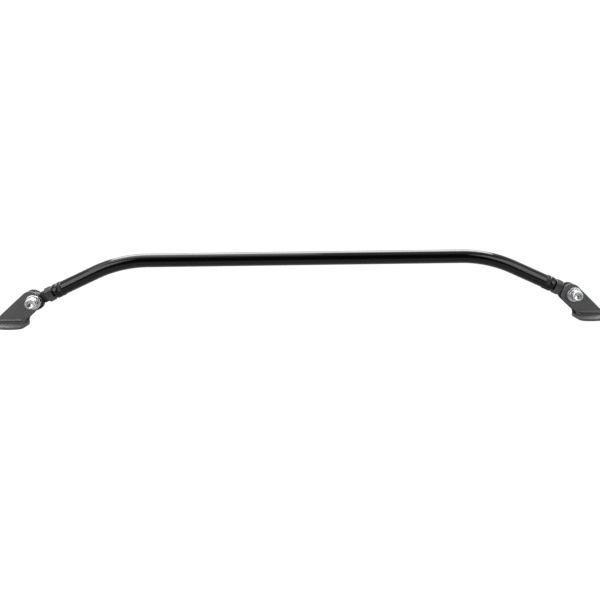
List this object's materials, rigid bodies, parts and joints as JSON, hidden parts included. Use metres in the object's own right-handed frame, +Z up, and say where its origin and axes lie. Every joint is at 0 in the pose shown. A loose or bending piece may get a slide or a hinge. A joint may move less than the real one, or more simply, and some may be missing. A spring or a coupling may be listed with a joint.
{
  "type": "strut tower brace",
  "caption": "Strut tower brace: round bent steel crossbar with adjustable ball-jointed rod ends and bolted foot brackets at both ends.",
  "frame": {"origin": "middle of the overall box at the underside of the feet", "axes": "+X along the crossbar to the right-hand bracket, +Z up, -Y the side with the bolt heads"},
  "size_m": [1.169, 0.0802, 0.1286],
  "materials": {
    "gloss_black_tube": "gloss powder coat",
    "black_bung": "gloss powder coat",
    "black_bracket": "satin powder coat",
    "black_rod_end": "black oxide",
    "race_steel": "ground steel",
    "ball_chrome": "polished chrome",
    "bright_zinc": "bright zinc plate",
    "white_nylon": "moulded nylon"
  },
  "bodies": {
    "crossbar": {"crossbar_tube": "gloss_black_tube", "left_end_bung": "black_bung", "right_end_bung": "black_bung"},
    "left_rod_end": {"left_rod_end_body": "black_rod_end", "left_rod_end_race": "race_steel"},
    "left_lock_nut": {"left_jam_nut": "bright_zinc"},
    "left_ball": {"left_rod_end_ball": "ball_chrome"},
    "left_bracket": {"left_front_plate": "black_bracket", "left_rear_plate": "black_bracket", "left_foot_plate": "black_bracket", "left_pivot_bolt": "bright_zinc", "left_lock_washer": "bright_zinc", "left_front_washer": "bright_zinc", "left_rear_washer": "bright_zinc", "left_pivot_nut": "bright_zinc", "left_nut_insert": "white_nylon"},
    "right_rod_end": {"right_rod_end_body": "black_rod_end", "right_rod_end_race": "race_steel"},
    "right_lock_nut": {"right_jam_nut": "bright_zinc"},
    "right_ball": {"right_rod_end_ball": "ball_chrome"},
    "right_bracket": {"right_front_plate": "black_bracket", "right_rear_plate": "black_bracket", "right_foot_plate": "black_bracket", "right_pivot_bolt": "bright_zinc", "right_lock_washer": "bright_zinc", "right_front_washer": "bright_zinc", "right_rear_washer": "bright_zinc", "right_pivot_nut": "bright_zinc", "right_nut_insert": "white_nylon"}
  },
  "joints": [
    {"name": "left_rod_end_adjust", "type": "slide", "parent": "crossbar", "child": "left_rod_end", "axis": [-0.91, 0, -0.4147], "range_m": [-0.002, 0.012]},
    {"name": "left_lock_nut_turn", "type": "hinge", "parent": "left_rod_end", "child": "left_lock_nut", "pos_m": [-0.49475, 0.00788, 0.043], "axis": [0.91, 0, 0.4147], "continuous": true},
    {"name": "left_ball_tilt", "type": "hinge", "parent": "left_rod_end", "child": "left_ball", "pos_m": [-0.49475, 0.00788, 0.043], "axis": [-0.4147, 0, 0.91], "range_deg": [-2.8, 2.8]},
    {"name": "left_bracket_swing", "type": "hinge", "parent": "left_ball", "child": "left_bracket", "pos_m": [-0.49475, 0.00788, 0.043], "axis": [0, 1, 0], "range_deg": [-25, 25]},
    {"name": "right_rod_end_adjust", "type": "slide", "parent": "crossbar", "child": "right_rod_end", "axis": [0.91, 0, -0.4147], "range_m": [-0.002, 0.012]},
    {"name": "right_lock_nut_turn", "type": "hinge", "parent": "right_rod_end", "child": "right_lock_nut", "pos_m": [0.50525, 0.00788, 0.043], "axis": [-0.91, 0, 0.4147], "continuous": true},
    {"name": "right_ball_tilt", "type": "hinge", "parent": "right_rod_end", "child": "right_ball", "pos_m": [0.50525, 0.00788, 0.043], "axis": [0.4147, 0, 0.91], "range_deg": [-2.8, 2.8]},
    {"name": "right_bracket_swing", "type": "hinge", "parent": "right_ball", "child": "right_bracket", "pos_m": [0.50525, 0.00788, 0.043], "axis": [0, 1, 0], "range_deg": [-25, 25]}
  ]
}
